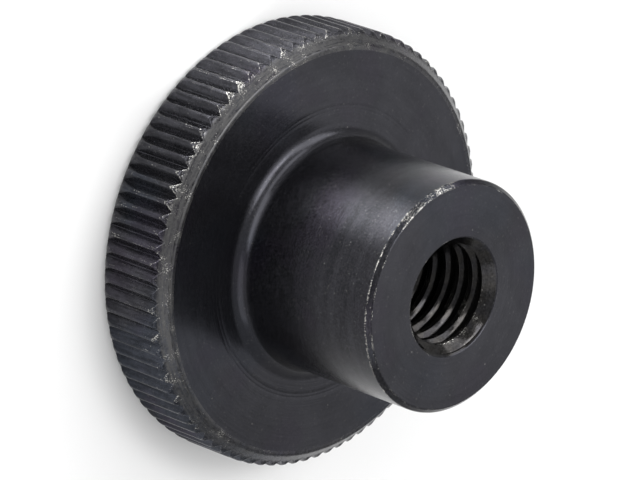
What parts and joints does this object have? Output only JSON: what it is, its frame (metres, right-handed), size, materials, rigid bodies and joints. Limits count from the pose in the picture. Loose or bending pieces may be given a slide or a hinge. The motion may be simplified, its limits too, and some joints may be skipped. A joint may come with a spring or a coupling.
{
  "type": "knurled thumb nut",
  "caption": "Round straight-knurled thumb nut with a plain cylindrical hub and a threaded through hole, in blackened steel.",
  "frame": {"origin": "centre of the head's flat back face, on which the nut stands", "axes": "+Z along the thread axis, from the knurled head to the end of the hub; a crest of the knurl lies on +X"},
  "size_m": [0.0306, 0.0306, 0.018],
  "materials": {
    "blackened_steel": "black oxide over fine turning marks, worn bright in specks on sharp edges"
  },
  "bodies": {
    "root": {"knurled_nut": "blackened_steel"}
  },
  "joints": []
}
